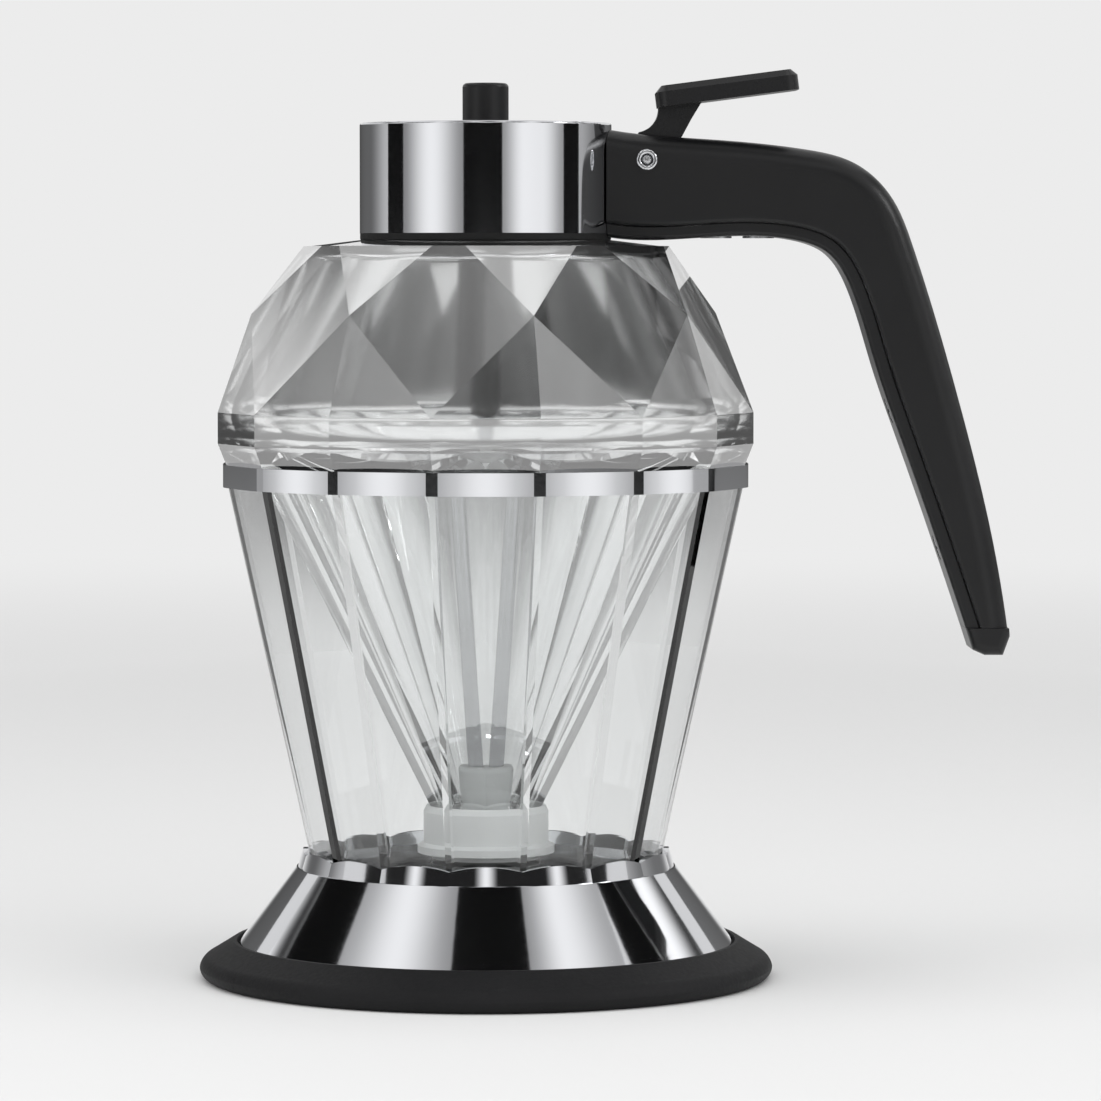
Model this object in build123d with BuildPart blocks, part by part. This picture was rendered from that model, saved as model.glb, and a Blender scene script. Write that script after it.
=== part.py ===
from build123d import *
import os
from math import atan, atan2, cos, hypot, pi, radians, sin, tan

os.makedirs("parts", exist_ok=True)

# Lever-lift dispenser: a faceted glass jar with a bottom outlet, a screwed head with handle and
# thumb lever, and a clear stand on a black foot. Millimetres, +Z up, origin on the table below
# the jar's axis. The handle points along +X, and -Y is the front.

# Clearances
fit = 0.05  # fixed pieces of one assembly
running = 0.08  # shafts in their holes
air = 0.4  # pieces that pass each other
seat_gap = 0.15  # between the plug and its seat

# Whole object
stand_height = 85.2  # the jar rests at this height
flats = 16  # round the cup, the rim and the jar's girdle
step = 360 / flats
front_corner = step / 2  # a flat faces the front

# Foot and base core
foot_r = 47.5
foot_bottom_r = 45.6
foot_widest_z = 1.9
foot_edge_in = 1.6  # the rounded edge ends this far in
foot_edge_h = 2.0  # and this far above its widest line
foot_height = 6.3
foot_shoulder_r = 42.0
foot_plate = 3.0
seat_depth = 0.8
seat_width = 2.6
core_plate = 2.0
core_boss_r = 3.6
core_r = 28.6
core_hole_r = 16.0
screw_circle_r = 24.0
screw_count = 3
screw_r = 1.5
screw_head_r = 2.9
screw_head_h = 1.7
base_screw_reach = 9.0
head_recess = 0.3
screw_tip_gap = 0.5  # below each screw's tip
base_drive_length = 3.5  # cross recess
base_drive_width = 0.7
base_drive_depth = 0.9

# Skirt and ring
skirt_foot_r = 41.3
skirt_top_r = 31.4
skirt_top_z = 18.4
skirt_wall = 0.9
skirt_flange_r = 20.0
cup_drop = 1.0  # the cup's underside lies this far below the skirt's edge
ring_h = 3.0
ring_bulge_r = 31.2
ring_notch_r = 30.9
ring_lean = 0.29  # it narrows this much for each millimetre of height
ring_lap = 0.4  # neighbouring bulges run this far into each other
ring_arch = 0.9  # the ring's top edge falls this much from mid panel to corner

# Cup and rim band
cup_foot_r = 28.9
cup_mouth_r = 43.6
cup_wall = 2.5
cup_floor = 2.2
cup_bevel = 0.75
rim_r = 43.8
rim_h = 3.7
rim_wall = 0.9
rim_bevel = 0.97
rim_swell = 0.35  # each of its sides is this much fuller than a flat one
rim_lip_r = 40.0

# Jar
jar_wall = 2.6
cavity_low = 0.6  # the funnel's wall turns outwards above the rim
cavity_high = 1.6  # and upwards above the girdle's lower edge
cavity_round = 5.0
ceiling_round = 2.0
ceiling_fall = 0.4  # from the neck outwards
jar_flange_r = 43.3
jar_bevel_h = 3.5
girdle_r = 44.7
girdle_h = 5.1
kites = 8
kite_step = 360 / kites
kite_turn = -11.25  # the front kite stands a little to the left
dome_h = 27.2
kite_mid_h = 16.1  # the kites meet their neighbours this far above the girdle
kite_top_r = 30.18
star_top_r = 28.9
shoulder_h = 1.0
shoulder_r = 20.6
funnel_r = 37.2
funnel_sides = 8
spout_r = 8.0
spout_bore_r = 5.0
spout_h = 6.3
spout_bore_rise = 1.5  # the bore runs on this far into the funnel
neck_r = 17.4
neck_bore_r = 15.0
neck_h = 5.6

# Screw thread of neck and lid
thread_pitch = 2.4
thread_depth = 1.1
thread_base = 1.1
thread_crest = 0.5
neck_thread_turns = 1.5
neck_thread_rise = 1.2  # above the shoulder
lid_thread_turns = 0.75
thread_gap = 0.3  # between each crest and the wall across
thread_lead = 0.15  # the lid's ridge starts this far above its edge
thread_root = 0.4  # how deep each ridge is rooted in its wall

# Nozzle and plug
nozzle_r = 10.0
nozzle_flange_r = 11.0
nozzle_flange_h = 1.5
nozzle_lip_r = 8.6
nozzle_lip_h = 0.7
nozzle_round = 0.5
seat_rise = 0.5  # the seat's cone starts this far above the lip
nozzle_clear = 0.4  # above the cup's floor
nozzle_web = 1.8
nozzle_cover = 7.0  # how far the nozzle reaches up the spout
orifice_r = 2.0
seat_mouth_r = 3.0
plug_r = 4.65
plug_h = 14.9
plug_taper_h = 12.0
plug_rise = 1.0  # above the nozzle's lip
plug_belly = 0.35
plug_edge = 0.9
plug_hole = 8.9

# Collar and lid
gasket_h = 1.1
gasket_wall = 1.75
gasket_relief = 0.1  # outside the shoulder's edge
collar_r = 20.75
collar_h = 18.1
collar_wall = 0.7
collar_edge = 0.4
window_half = 5.0
window_head = 1.3
lid_rise = 0.2  # the lid starts this far above the collar's edge
lid_disc = 1.8
seal_h = 0.8
seal_wall = 2.1
seal_inset = 0.1
chamber_r = 17.5
guide_boss_r = 5.5
guide_drop = 4.4

# Rod and knob
rod_r = 2.0
rod_edge = 0.3
sleeve_r = 3.6
sleeve_length = 42.0
sleeve_edge = 0.5
sleeve_low = 0.3  # below the top of the lid's disc
knob_r = 3.8
knob_rise = 6.6  # above the collar
knob_edge = 0.7
knob_hole = 9.0
lift_collar_r = 6.7
lift_collar_h = 0.95
bush_r = 4.6
bush_flange_r = 5.2
bush_drop = 1.5
spring_r = 6.0
spring_wire_r = 0.25
spring_turns = 2.5

# Lever
pivot_x = 26.4
pivot_drop = 6.1  # below the collar's top
pin_r = 0.9
pin_edge = 0.7
boss_r = 2.6
lever_half = 2.5
fork_half = 4.6
fork_drop = 3.25
tine_h = 1.5
nib_r = 1.1
pad_length = 23.4
pad_h = 3.45
pad_half = 5.75
pad_tilt = 7.4
pad_edge = 1.0
pad_corner = 2.0
pad_rise = 2.5  # its lower corner stands this far above the collar's top
pad_setback = 1.9  # and this far outside the pivot

# Handle
handle_half = 7.0
handle_wall = 2.1
handle_round = 3.8
handle_side_round = 0.8
cover_half = 6.2
cover_h = 2.1
cover_edge = 0.7
cover_sag = 0.4  # below the ledge's start, where the screws are
handle_reach = 65.55  # from the collar's side to the shell's lower end
handle_fall = 83.4
handle_drop = 1.1  # the root's top edge below the collar's top
ledge_drop = 16.5  # and its ledge
shell_drop = 83.0  # and the shell's lower end
cavity_half = 4.9
slot_half = 2.9
slot_front = 2.6
slot_length = 10.6
lug_half = 4.7
lug_length = 28.0
lug_h = 4.8
lug_root = 0.5  # it starts this far inside the lid's wall
handle_screw_at = (38.0, 45.0)
handle_boss_r = 2.9
handle_screw_reach = 11.5
pan_head_r = 2.6
pan_head_h = 1.5
pan_drive = (3.1, 0.6, 0.8)
under_head = 0.1  # between each head and its recess
grip_screw_at = (0.62, 0.84)  # along the ledge, as a share of its length
grip_screw_r = 1.1
grip_head_r = 2.1
grip_head_h = 1.2
grip_drive = (2.5, 0.5, 0.7)
grip_screw_reach = 4.2
tip_drop = 87.5
tip_round = 1.6
tip_taper = (1.1, 2.0)  # at its outer and its inner side
tenon_share = 0.05
ferrule_r = 1.4
ferrule_flange_r = 1.75
ferrule_flange = 0.5
ferrule_edge = 0.35

# Heights worked out from the sizes
foot_seat_z = foot_height - seat_depth
cup_bottom = skirt_top_z - cup_drop
cup_floor_z = cup_bottom + cup_floor
rim_bottom = stand_height - rim_h
cup_top = stand_height - rim_wall
girdle_z = stand_height + jar_bevel_h
dome_z = girdle_z + girdle_h
kite_mid_z = dome_z + kite_mid_h
dome_top = dome_z + dome_h
neck_z = dome_top + shoulder_h
neck_top = neck_z + neck_h
collar_z = neck_z + gasket_h
collar_top = collar_z + collar_h
collar_ceiling = collar_top - collar_wall
lid_z = collar_z + lid_rise
disc_z = neck_top + seal_h
disc_top = disc_z + lid_disc
nozzle_z = cup_floor_z + nozzle_clear
spout_z = nozzle_z + nozzle_web
funnel_z = spout_z + spout_h
pivot_z = collar_top - pivot_drop
nib_z = pivot_z - fork_drop
lift_z = nib_z + nib_r + seat_gap
knob_z = lift_z + lift_collar_h
knob_top = collar_top + knob_rise
plug_z = nozzle_z + plug_rise
plug_top = plug_z + plug_h
sleeve_top = disc_top - sleeve_low


def ring_points(radius, count, turn):
    """Corner points of a regular polygon in the plane."""
    angles = [radians(turn + i * 360 / count) for i in range(count)]
    return [(radius * cos(a), radius * sin(a)) for a in angles]


def front_angle(turn):
    """Polar angle of a direction that is turned from the front towards +X."""
    return turn - 90


def leaning_plane(angle, radius, z, slope):
    """Plane through a point out at an angle; slope is what its radius loses per millimetre of height."""
    a = radians(angle)
    return Plane(
        origin=(radius * cos(a), radius * sin(a), z),
        z_dir=(cos(a), sin(a), slope),
    )


# Foot pad: rounded edge, plate below, seat for the skirt and screw holes
with BuildPart() as foot_pad:
    with BuildSketch(Plane.XZ):
        with BuildLine():
            lower = Line((0, 0), (foot_bottom_r, 0))
            edge = ThreePointArc(
                lower @ 1,
                (foot_r - (foot_r - foot_bottom_r) * 0.2, foot_widest_z * 0.4),
                (foot_r, foot_widest_z),
            )
            crown = ThreePointArc(
                edge @ 1,
                (foot_r - foot_edge_in * 0.31, foot_widest_z + foot_edge_h * 0.55),
                (foot_r - foot_edge_in, foot_widest_z + foot_edge_h),
            )
            Polyline(
                crown @ 1,
                (foot_shoulder_r, foot_height),
                (skirt_foot_r + fit, foot_height),
                (skirt_foot_r + fit, foot_seat_z),
                (skirt_foot_r - seat_width, foot_seat_z),
                (skirt_foot_r - seat_width, foot_plate),
                (0, foot_plate),
                (0, 0),
            )
        make_face()
    revolve(axis=Axis.Z)
    with PolarLocations(screw_circle_r, screw_count, start_angle=90):
        Hole(screw_r + running, depth=foot_height)
    with BuildSketch(Plane.XY):
        with PolarLocations(screw_circle_r, screw_count, start_angle=90):
            Circle(screw_head_r + running)
    extrude(amount=head_recess + screw_head_h, mode=Mode.SUBTRACT)
foot_pad.part.label = "foot_pad"
export_step(foot_pad.part, "parts/foot_pad.step")

# Base core: plate under the skirt's flange, on three bosses that stand on the foot
core_top = cup_bottom - skirt_wall
with BuildPart() as base_core:
    with BuildSketch(Plane.XY.offset(core_top - core_plate)):
        Circle(core_r)
        Circle(core_hole_r, mode=Mode.SUBTRACT)
    extrude(amount=core_plate)
    with BuildSketch(Plane.XY.offset(foot_plate)):
        with PolarLocations(screw_circle_r, screw_count, start_angle=90):
            Circle(core_boss_r)
    extrude(amount=core_top - foot_plate)
    with BuildSketch(Plane.XY.offset(foot_plate)):
        with PolarLocations(screw_circle_r, screw_count, start_angle=90):
            Circle(screw_r + fit)
    extrude(amount=base_screw_reach, mode=Mode.SUBTRACT)
base_core.part.label = "base_core"
export_step(base_core.part, "parts/base_core.step")

# Base screws: flat heads sunk in the foot
with BuildPart() as base_screws:
    with BuildSketch(Plane.XY.offset(head_recess)):
        with PolarLocations(screw_circle_r, screw_count, start_angle=90):
            Circle(screw_head_r)
    extrude(amount=screw_head_h)
    with BuildSketch(Plane.XY.offset(head_recess)):
        with PolarLocations(screw_circle_r, screw_count, start_angle=90):
            Circle(screw_r)
    extrude(amount=foot_plate - head_recess + base_screw_reach - screw_tip_gap)
    with BuildSketch(Plane.XY.offset(head_recess)):
        with PolarLocations(screw_circle_r, screw_count, start_angle=90):
            Rectangle(base_drive_length, base_drive_width)
            Rectangle(base_drive_width, base_drive_length)
    extrude(amount=base_drive_depth, mode=Mode.SUBTRACT)
base_screws.part.label = "base_screws"
export_step(base_screws.part, "parts/base_screws.step")

# Skirt: thin cone with an inward flange under the cup
skirt_run = skirt_foot_r - skirt_top_r
skirt_rise = skirt_top_z - foot_seat_z
skirt_side = skirt_wall * hypot(skirt_run, skirt_rise) / skirt_rise
skirt_lean = skirt_run / skirt_rise


def skirt_inner_r(z):
    """Inner radius of the skirt's cone."""
    return skirt_top_r + (skirt_top_z - z) * skirt_lean - skirt_side


with BuildPart() as base_skirt:
    with BuildSketch(Plane.XZ):
        with BuildLine():
            Polyline(
                (skirt_foot_r, foot_seat_z),
                (skirt_top_r, skirt_top_z),
                (skirt_inner_r(skirt_top_z), skirt_top_z),
                (skirt_inner_r(skirt_top_z), cup_bottom),
                (skirt_flange_r, cup_bottom),
                (skirt_flange_r, core_top),
                (skirt_inner_r(core_top), core_top),
                (skirt_inner_r(foot_seat_z), foot_seat_z),
                close=True,
            )
        make_face()
    revolve(axis=Axis.Z)
base_skirt.part.label = "base_skirt"
export_step(base_skirt.part, "parts/base_skirt.step")


def cup_outer_r(z):
    """Corner radius of the cup's outside, which is a straight frustum."""
    return cup_foot_r + (cup_mouth_r - cup_foot_r) * (z - cup_bottom) / (cup_top - cup_bottom)


# Cup: sixteen flat panels with narrow bevels at the corners
with BuildPart() as stand_cup:
    for level in (cup_bottom, cup_top):
        with BuildSketch(Plane.XY.offset(level)):
            RegularPolygon(cup_outer_r(level), flats, rotation=front_corner)
    loft()
    corner_edges = stand_cup.edges().filter_by(lambda e: abs(e.tangent_at(0.5).Z) > 0.5)
    chamfer(corner_edges, length=cup_bevel)
    for level in (cup_floor_z, cup_top):
        with BuildSketch(Plane.XY.offset(level)):
            RegularPolygon(cup_outer_r(level) - cup_wall, flats, rotation=front_corner)
    loft(mode=Mode.SUBTRACT)
    with BuildSketch(Plane.XY.offset(rim_bottom)):
        RegularPolygon(cup_mouth_r * 1.2, flats, rotation=front_corner)
        RegularPolygon(rim_r - rim_wall - fit, flats, rotation=front_corner, mode=Mode.SUBTRACT)
    extrude(amount=rim_h, mode=Mode.SUBTRACT)
stand_cup.part.label = "stand_cup"
export_step(stand_cup.part, "parts/stand_cup.step")

# Rim band: outer wall round the cup's mouth and a flat lip over its edge
with BuildPart() as rim_band:
    with BuildSketch(Plane.XY.offset(rim_bottom)):
        with BuildLine():
            corners = ring_points(rim_r, flats, front_angle(step / 2))
            swell_r = rim_r * cos(radians(step / 2)) + rim_swell
            middles = ring_points(swell_r, flats, front_angle(step))
            for i in range(flats):
                ThreePointArc(corners[i], middles[i], corners[(i + 1) % flats])
        make_face()
    extrude(amount=rim_h)
    chamfer(rim_band.edges().filter_by(Axis.Z), length=rim_bevel)
    with BuildSketch(Plane.XY.offset(rim_bottom)):
        RegularPolygon(rim_r - rim_wall, flats, rotation=front_corner)
    extrude(amount=rim_h - rim_wall, mode=Mode.SUBTRACT)
    with BuildSketch(Plane.XY.offset(cup_top)):
        RegularPolygon(rim_lip_r, flats, rotation=front_corner)
    extrude(amount=rim_wall, mode=Mode.SUBTRACT)
rim_band.part.label = "rim_band"
export_step(rim_band.part, "parts/rim_band.step")

# Scalloped ring: one bulge for each panel, whose top edge is an arch
ring_top = skirt_top_z + ring_h
ring_chord = 2 * ring_bulge_r * sin(radians(step / 2))
with BuildPart() as scalloped_ring:
    for i in range(flats):
        turn = front_angle(i * step)
        radial = Plane(
            origin=(0, 0, skirt_top_z),
            x_dir=(-sin(radians(turn)), cos(radians(turn)), 0),
            z_dir=(cos(radians(turn)), sin(radians(turn)), 0),
        )
        with BuildSketch(radial.offset(cup_foot_r - 2)):
            with BuildLine():
                half = ring_chord / 2 + ring_lap
                low = ring_h - ring_arch * (half / (ring_chord / 2)) ** 2
                Polyline((half, low), (half, 0), (-half, 0), (-half, low))
                ThreePointArc((-half, low), (0, ring_h), (half, low))
            make_face()
        extrude(amount=6)
    for rise in (0, ring_h + 1):
        with BuildSketch(Plane.XY.offset(skirt_top_z + rise)):
            with BuildLine():
                notches = ring_points(ring_notch_r - rise * ring_lean, flats, front_angle(step / 2))
                crests = ring_points(ring_bulge_r - rise * ring_lean, flats, front_angle(step))
                for i in range(flats):
                    ThreePointArc(notches[i], crests[i], notches[(i + 1) % flats])
            make_face()
    loft(mode=Mode.INTERSECT)
    for level in (skirt_top_z - 1, ring_top + 1):
        with BuildSketch(Plane.XY.offset(level)):
            RegularPolygon(cup_outer_r(level) + fit, flats, rotation=front_corner)
    loft(mode=Mode.SUBTRACT)
scalloped_ring.part.label = "scalloped_ring"
export_step(scalloped_ring.part, "parts/scalloped_ring.step")


def thread_ridge(wall_r, start_z, turns, side, turn=0.0):
    """Ridge along a right-handed helix; side is 1 outwards from the wall and -1 inwards."""
    with BuildPart() as ridge:
        with BuildLine(Plane.XY.rotated((0, 0, turn))) as path:
            Helix(thread_pitch, thread_pitch * turns, wall_r, center=(0, 0, start_z))
        start = path.line @ 0
        out = Vector(start.X, start.Y, 0).normalized()
        with BuildSketch(Plane(origin=start, x_dir=out, z_dir=path.line % 0)):
            with BuildLine():
                Polyline(
                    (-side * thread_root, thread_base / 2 + 0.1),
                    (side * thread_depth, thread_crest / 2),
                    (side * thread_depth, -thread_crest / 2),
                    (-side * thread_root, -thread_base / 2 - 0.1),
                    close=True,
                )
            make_face()
        sweep(path=path.line, is_frenet=True)
    return ridge.part


# Jar: the dome is cut from a sixteen-sided prism by its facet planes
kite_slope = (girdle_r - kite_top_r) / dome_h
kite_side_r = (girdle_r - kite_slope * kite_mid_h) / cos(radians(kite_step / 2))
star_slope = (kite_side_r - star_top_r) / (dome_h - kite_mid_h)
low_slope = cos(radians(step / 2)) * (girdle_r - kite_side_r) / kite_mid_h
funnel_foot_r = spout_r * 1.08
funnel_lean = (funnel_r - funnel_foot_r) / (stand_height - funnel_z)
funnel_wall_r = (funnel_r - jar_wall) * cos(pi / funnel_sides)
spout_inner_top = funnel_z + spout_bore_rise
girdle_inner_r = girdle_r * cos(radians(step / 2)) - jar_wall * 1.1
dome_inner = jar_wall * 1.08


def dome_inner_r(z):
    """Radius of the smooth inside of the dome, one wall behind the kites."""
    lean = hypot(1, kite_slope)
    return girdle_r - kite_slope * (z - dome_z) - dome_inner * lean


ceiling_z = dome_top - jar_wall * 0.85
dome_turn_z = dome_z + (girdle_r - dome_inner * hypot(1, kite_slope) - girdle_inner_r) / kite_slope
# The cavity's fillets meet at most halfway along the girdle's inner wall
girdle_inner_h = dome_turn_z - girdle_z - cavity_high
low_turn = atan2(girdle_inner_r - funnel_wall_r, girdle_z + cavity_high - stand_height - cavity_low)
fillet_reach = tan(low_turn / 2) + tan(atan(kite_slope) / 2)
cavity_fillet = min(cavity_round, 0.98 * girdle_inner_h / fillet_reach)
neck_ridge = thread_ridge(neck_r, neck_z + neck_thread_rise, neck_thread_turns, 1)
with BuildPart() as jar_glass:
    with BuildSketch(Plane.XY.offset(girdle_z)):
        RegularPolygon(girdle_r, flats, rotation=front_corner)
    extrude(amount=girdle_h + dome_h)
    for i in range(kites):
        kite = front_angle(kite_turn + i * kite_step)
        star = kite + kite_step / 2
        split(bisect_by=leaning_plane(kite, girdle_r, dome_z, kite_slope), keep=Keep.BOTTOM)
        split(bisect_by=leaning_plane(star, kite_side_r, kite_mid_z, star_slope), keep=Keep.BOTTOM)
        for side in (-1, 1):
            low = star + side * step / 2
            low_r = girdle_r * cos(radians(step / 2))
            split(bisect_by=leaning_plane(low, low_r, dome_z, low_slope), keep=Keep.BOTTOM)
    for level, radius in ((stand_height, jar_flange_r), (girdle_z, girdle_r)):
        with BuildSketch(Plane.XY.offset(level)):
            RegularPolygon(radius, flats, rotation=front_corner)
    loft()
    for level, radius in ((funnel_z, funnel_foot_r), (stand_height, funnel_r)):
        with BuildSketch(Plane.XY.offset(level)):
            RegularPolygon(radius, funnel_sides)
    loft()
    with BuildSketch(Plane.XZ):
        with BuildLine():
            Polyline(
                (0, dome_top),
                (star_top_r - 0.1, dome_top),
                (shoulder_r, neck_z),
                (neck_r, neck_z),
                (neck_r, neck_top),
                (0, neck_top),
                close=True,
            )
        make_face()
        with BuildLine():
            Polyline(
                (0, spout_z),
                (spout_r, spout_z),
                (spout_r, funnel_z + 1),
                (0, funnel_z + 1),
                close=True,
            )
        make_face()
    revolve(axis=Axis.Z)
    with BuildSketch(Plane.XZ) as cavity:
        with BuildLine():
            Polyline(
                (0, spout_z),
                (spout_bore_r, spout_z),
                (spout_bore_r, spout_inner_top),
                (funnel_wall_r, stand_height + cavity_low),
                (girdle_inner_r, girdle_z + cavity_high),
                (girdle_inner_r, dome_turn_z),
                (dome_inner_r(ceiling_z), ceiling_z),
                (neck_bore_r, ceiling_z + ceiling_fall),
                (neck_bore_r, neck_top),
                (0, neck_top),
                close=True,
            )
        make_face()
        wide = [v for v in cavity.vertices() if v.X > funnel_wall_r - 0.1 and v.Y < kite_mid_z]
        fillet(wide, radius=cavity_fillet)
        high = [v for v in cavity.vertices() if v.X > neck_bore_r - 0.1 and abs(v.Y - ceiling_z) < 0.5]
        fillet(high, radius=ceiling_round)
    revolve(axis=Axis.Z, mode=Mode.SUBTRACT)
    add(neck_ridge)
jar_glass.part.label = "jar_glass"
export_step(jar_glass.part, "parts/jar_glass.step")

# Outlet nozzle: silicone cap on the spout with a conical seat for the plug
nozzle_mouth_r = funnel_foot_r + (spout_z + nozzle_cover - funnel_z) * funnel_lean + 2 * fit
with BuildPart() as outlet_nozzle:
    with BuildSketch(Plane.XZ):
        with BuildLine():
            Polyline(
                (orifice_r, nozzle_z),
                (nozzle_lip_r, nozzle_z),
                (nozzle_lip_r, nozzle_z + nozzle_lip_h),
                (nozzle_flange_r, nozzle_z + nozzle_lip_h + nozzle_round * 0.6),
                (nozzle_flange_r, nozzle_z + nozzle_lip_h + nozzle_flange_h),
                (nozzle_r, nozzle_z + nozzle_lip_h + nozzle_flange_h + nozzle_round),
                (nozzle_r, spout_z + nozzle_cover - 2 * nozzle_round),
                (nozzle_r - nozzle_round, spout_z + nozzle_cover),
                (nozzle_mouth_r, spout_z + nozzle_cover),
                (funnel_foot_r + 2 * fit, funnel_z - 2 * fit),
                (spout_r + fit, funnel_z - 2 * fit),
                (spout_r + fit, spout_z),
                (seat_mouth_r, spout_z),
                (orifice_r, nozzle_z + seat_rise),
                close=True,
            )
        make_face()
    revolve(axis=Axis.Z)
outlet_nozzle.part.label = "outlet_nozzle"
export_step(outlet_nozzle.part, "parts/outlet_nozzle.step")

# Stopper plug: bullet with a blind hole for the rod
seat_lean = (seat_mouth_r - orifice_r) / (nozzle_web - seat_rise)
nose_r = orifice_r + (plug_rise - seat_rise) * seat_lean - seat_gap * hypot(1, seat_lean)
with BuildPart() as stopper_plug:
    with BuildSketch(Plane.XZ):
        with BuildLine():
            Line((0, plug_z), (nose_r, plug_z))
            Line(
                (nose_r, plug_z),
                (nose_r + seat_lean * (spout_z - plug_z), spout_z),
            )
            Spline(
                (nose_r + seat_lean * (spout_z - plug_z), spout_z),
                ((nose_r + plug_r) / 2 + plug_belly, plug_z + plug_taper_h * 0.5),
                (plug_r, plug_z + plug_taper_h),
                tangents=((0.15, 1), (0, 1)),
            )
            Polyline(
                (plug_r, plug_z + plug_taper_h),
                (plug_r, plug_top),
                (0, plug_top),
                (0, plug_z),
            )
        make_face()
    revolve(axis=Axis.Z)
    fillet(stopper_plug.edges().group_by(Axis.Z)[-1], radius=plug_edge)
    with BuildSketch(Plane.XY.offset(plug_top)):
        Circle(rod_r + fit)
    extrude(amount=-plug_hole, mode=Mode.SUBTRACT)
stopper_plug.part.label = "stopper_plug"
export_step(stopper_plug.part, "parts/stopper_plug.step")

# Pull rod from the plug to the knob
rod_foot = plug_top - plug_hole
rod_head = knob_z + knob_hole
with BuildPart() as pull_rod:
    with BuildSketch(Plane.XY.offset(rod_foot)):
        Circle(rod_r)
    extrude(amount=rod_head - rod_foot - fit)
    chamfer(pull_rod.edges().filter_by(GeomType.CIRCLE), length=rod_edge)
pull_rod.part.label = "pull_rod"
export_step(pull_rod.part, "parts/pull_rod.step")

# Stem sleeve on the upper rod, which slides in the lid's guide
with BuildPart() as stem_sleeve:
    with BuildSketch(Plane.XY.offset(sleeve_top - sleeve_length)):
        Circle(sleeve_r)
        Circle(rod_r + fit, mode=Mode.SUBTRACT)
    extrude(amount=sleeve_length)
    chamfer(stem_sleeve.faces().sort_by(Axis.Z)[0].outer_wire().edges(), length=sleeve_edge)
stem_sleeve.part.label = "stem_sleeve"
export_step(stem_sleeve.part, "parts/stem_sleeve.step")

# Lift collar: washer that the lever's fork lifts and the spring presses down
with BuildPart() as lift_collar:
    with BuildSketch(Plane.XY.offset(lift_z)):
        Circle(lift_collar_r)
        Circle(rod_r + fit, mode=Mode.SUBTRACT)
    extrude(amount=lift_collar_h)
lift_collar.part.label = "lift_collar"
export_step(lift_collar.part, "parts/lift_collar.step")

# Knob on top of the rod
with BuildPart() as top_knob:
    with BuildSketch(Plane.XY.offset(knob_z)):
        Circle(knob_r)
    extrude(amount=knob_top - knob_z)
    fillet(top_knob.edges().group_by(Axis.Z)[-1], radius=knob_edge)
    with BuildSketch(Plane.XY.offset(knob_z)):
        Circle(rod_r + fit)
    extrude(amount=knob_hole, mode=Mode.SUBTRACT)
top_knob.part.label = "top_knob"
export_step(top_knob.part, "parts/top_knob.step")

# Neck gasket between the jar's shoulder and the collar
with BuildPart() as neck_gasket:
    with BuildSketch(Plane.XY.offset(neck_z)):
        Circle(collar_r - fit)
        Circle(collar_r - gasket_wall, mode=Mode.SUBTRACT)
    extrude(amount=gasket_h)
    with BuildSketch(Plane.XY.offset(neck_z)):
        Circle(collar_r)
        Circle(shoulder_r, mode=Mode.SUBTRACT)
    extrude(amount=gasket_relief, mode=Mode.SUBTRACT)
neck_gasket.part.label = "neck_gasket"
export_step(neck_gasket.part, "parts/neck_gasket.step")

# Collar shell: cap with a hole for the bush and a window towards the handle
with BuildPart() as collar_shell:
    with BuildSketch(Plane.XY.offset(collar_z)):
        Circle(collar_r)
    extrude(amount=collar_h)
    fillet(collar_shell.edges().group_by(Axis.Z)[-1], radius=collar_edge)
    with BuildSketch(Plane.XY.offset(collar_z)):
        Circle(collar_r - collar_wall)
    extrude(amount=collar_h - collar_wall, mode=Mode.SUBTRACT)
    with BuildSketch(Plane.XY.offset(collar_z)):
        Circle(bush_r + fit)
    extrude(amount=collar_h, mode=Mode.SUBTRACT)
    with BuildSketch(Plane.YZ):
        with Locations((0, collar_top - (ledge_drop + window_head) / 2)):
            Rectangle(2 * window_half, ledge_drop - window_head)
    extrude(amount=collar_r * 1.5, mode=Mode.SUBTRACT)
collar_shell.part.label = "collar_shell"
export_step(collar_shell.part, "parts/collar_shell.step")

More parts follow.
